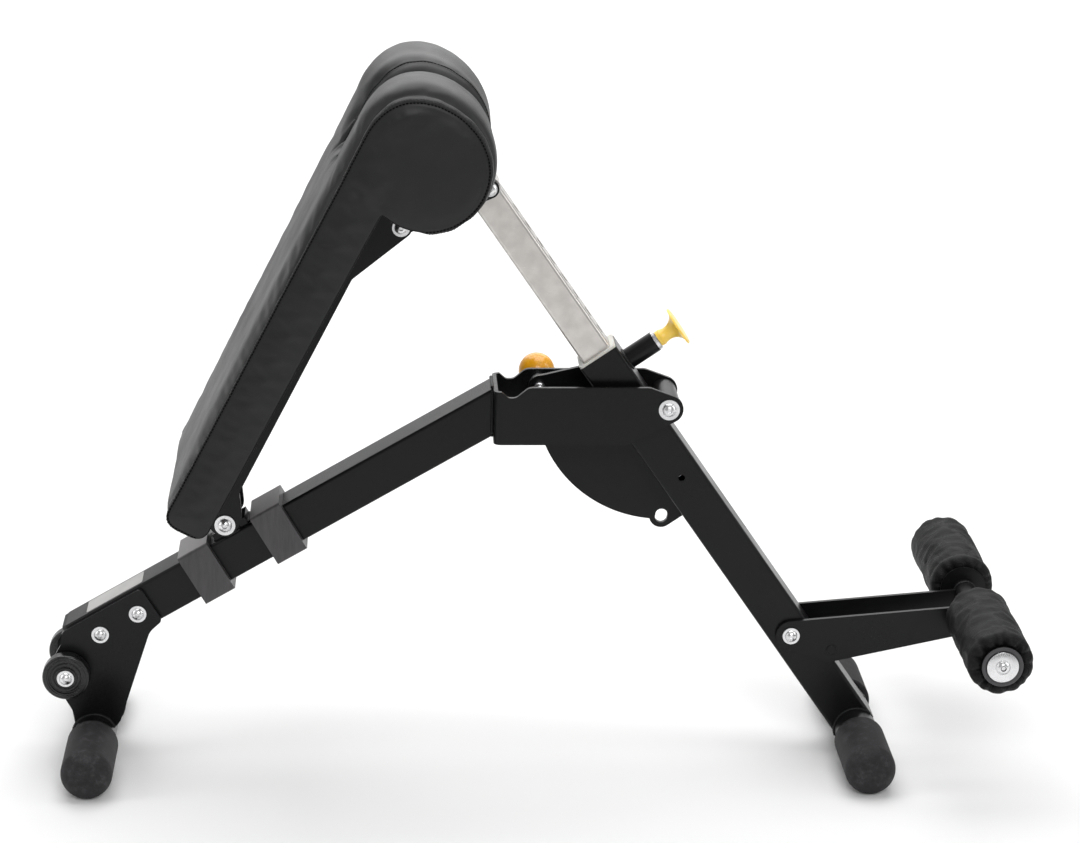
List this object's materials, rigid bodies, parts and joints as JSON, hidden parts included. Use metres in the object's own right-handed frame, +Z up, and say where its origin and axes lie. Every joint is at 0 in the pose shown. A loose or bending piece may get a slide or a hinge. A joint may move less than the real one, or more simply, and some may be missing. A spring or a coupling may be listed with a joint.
{
  "type": "decline sit up bench",
  "caption": "Decline sit-up bench: padded board with bolster hinged on a sloping square-tube beam, telescoping post, folding rear leg, foot rollers and small transport wheels.",
  "frame": {"origin": "centre of the bounding box's base: on the floor, midway between the wheel end and the foot-roller end, in the bench's plane of symmetry", "axes": "+X from the transport wheels towards the foot rollers, +Z up from the floor, +Y towards the side that carries the ball knob"},
  "size_m": [1.163, 0.442, 0.8468],
  "materials": {
    "frame_paint": "satin",
    "end_cap": "matte",
    "dark_rubber": "matte",
    "zinc_bolt": "satin",
    "pin_steel": "satin",
    "post_chrome": "satin",
    "white_nylon": "satin",
    "pull_yellow": "gloss",
    "ball_amber": "gloss",
    "wheel_plastic": "satin",
    "pad_vinyl": "satin",
    "board_wood": "matte",
    "roller_cloth": "matte"
  },
  "bodies": {
    "base": {"main_beam": "frame_paint", "beam_end_cap": "end_cap", "centre_bracket": "frame_paint", "front_gusset_near": "frame_paint", "front_gusset_far": "frame_paint", "gusset_bolts": "zinc_bolt", "gusset_nuts": "zinc_bolt", "front_foot_tube": "frame_paint", "front_foot_cap_near": "dark_rubber", "front_foot_cap_far": "dark_rubber", "lower_bumper": "dark_rubber", "upper_bumper": "dark_rubber", "pad_pivot_barrel": "frame_paint", "pad_pivot_bolt": "zinc_bolt", "pad_pivot_nut": "zinc_bolt", "pad_pivot_washers": "zinc_bolt", "leg_pivot_bolt": "zinc_bolt", "leg_pivot_nut": "zinc_bolt", "wheel_bolts": "zinc_bolt", "wheel_nuts": "zinc_bolt", "lock_pin_housing": "pin_steel", "lock_pin_spring": "pin_steel"},
    "leg": {"rear_leg": "frame_paint", "leg_pivot_barrel": "frame_paint", "leg_pivot_bushes": "white_nylon", "lock_fan_plate": "frame_paint", "lock_pin_nose": "pin_steel", "post_guide_bush": "white_nylon", "rear_foot_tube": "frame_paint", "rear_foot_cap_near": "dark_rubber", "rear_foot_cap_far": "dark_rubber", "pull_pin_housing": "frame_paint", "pull_pin_nut": "zinc_bolt", "pull_pin_spring": "pin_steel", "arm_pivot_sleeve": "pin_steel", "arm_pivot_bolt": "zinc_bolt"},
    "post": {"adjust_post": "post_chrome", "post_head": "post_chrome", "post_glide": "white_nylon"},
    "pad": {"pad_pivot_bushes": "white_nylon", "pad_frame_near": "frame_paint", "pad_frame_far": "frame_paint", "pad_cross_plates": "frame_paint", "pad_board": "board_wood", "pad_cushion": "pad_vinyl", "pad_screws": "pin_steel", "link_bolt": "zinc_bolt"},
    "link": {"link_bars": "frame_paint", "link_studs": "zinc_bolt"},
    "roller_arm": {"arm_plates": "frame_paint", "arm_stop_rod": "frame_paint", "roller_axle": "frame_paint"},
    "roller_near": {"foam_roller_near": "roller_cloth"},
    "roller_far": {"foam_roller_far": "roller_cloth"},
    "wheel_near_body": {"wheel_near": "wheel_plastic"},
    "wheel_far_body": {"wheel_far": "wheel_plastic"},
    "pull_pin": {"pull_pin_plunger": "pin_steel", "pull_pin_knob": "pull_yellow"},
    "lock_pin": {"lock_pin_plunger": "pin_steel", "lock_ball_knob": "ball_amber"}
  },
  "joints": [
    {"name": "leg_fold", "type": "hinge", "parent": "base", "child": "leg", "pos_m": [0.1635, 0, 0.445], "axis": [0, -1, 0], "range_deg": [-94.4, 0]},
    {"name": "post_slide", "type": "slide", "parent": "leg", "child": "post", "axis": [0.5693, 0, -0.8221], "range_m": [0, 0.226]},
    {"name": "pad_adjust", "type": "hinge", "parent": "base", "child": "pad", "pos_m": [-0.3615, 0, 0.298], "axis": [0, 1, 0], "range_deg": [0, 21.4]},
    {"name": "link_swing", "type": "hinge", "parent": "pad", "child": "link", "pos_m": [-0.15325, 0, 0.66232], "axis": [0, 1, 0], "range_deg": [0, 24.2]},
    {"name": "arm_fold", "type": "hinge", "parent": "leg", "child": "roller_arm", "pos_m": [0.3212, 0, 0.15402], "axis": [0, 1, 0], "range_deg": [-105, 0]},
    {"name": "roller_near_spin", "type": "hinge", "parent": "roller_arm", "child": "roller_near", "pos_m": [0.5435, -0.1285, 0.1865], "axis": [0, 1, 0], "continuous": true},
    {"name": "roller_far_spin", "type": "hinge", "parent": "roller_arm", "child": "roller_far", "pos_m": [0.5435, 0.1285, 0.1865], "axis": [0, 1, 0], "continuous": true},
    {"name": "wheel_near_spin", "type": "hinge", "parent": "base", "child": "wheel_near_body", "pos_m": [-0.5535, -0.043, 0.111], "axis": [0, 1, 0], "continuous": true},
    {"name": "wheel_far_spin", "type": "hinge", "parent": "base", "child": "wheel_far_body", "pos_m": [-0.5535, 0.043, 0.111], "axis": [0, 1, 0], "continuous": true},
    {"name": "pull_pin_slide", "type": "slide", "parent": "leg", "child": "pull_pin", "axis": [0.8221, 0, 0.5693], "range_m": [0, 0.01], "stiffness_N_per_m": 1500, "springref_m": -0.006, "deforming": ["pull_pin_spring"]},
    {"name": "lock_pin_slide", "type": "slide", "parent": "base", "child": "lock_pin", "axis": [0, 1, 0], "range_m": [0, 0.014], "stiffness_N_per_m": 1200, "springref_m": -0.006, "deforming": ["lock_pin_spring"]}
  ],
  "couplings": [
    {"joint": "pad_adjust", "follows": "post_slide", "rad_per_m": 1.6474},
    {"joint": "link_swing", "follows": "post_slide", "rad_per_m": 1.8654}
  ]
}
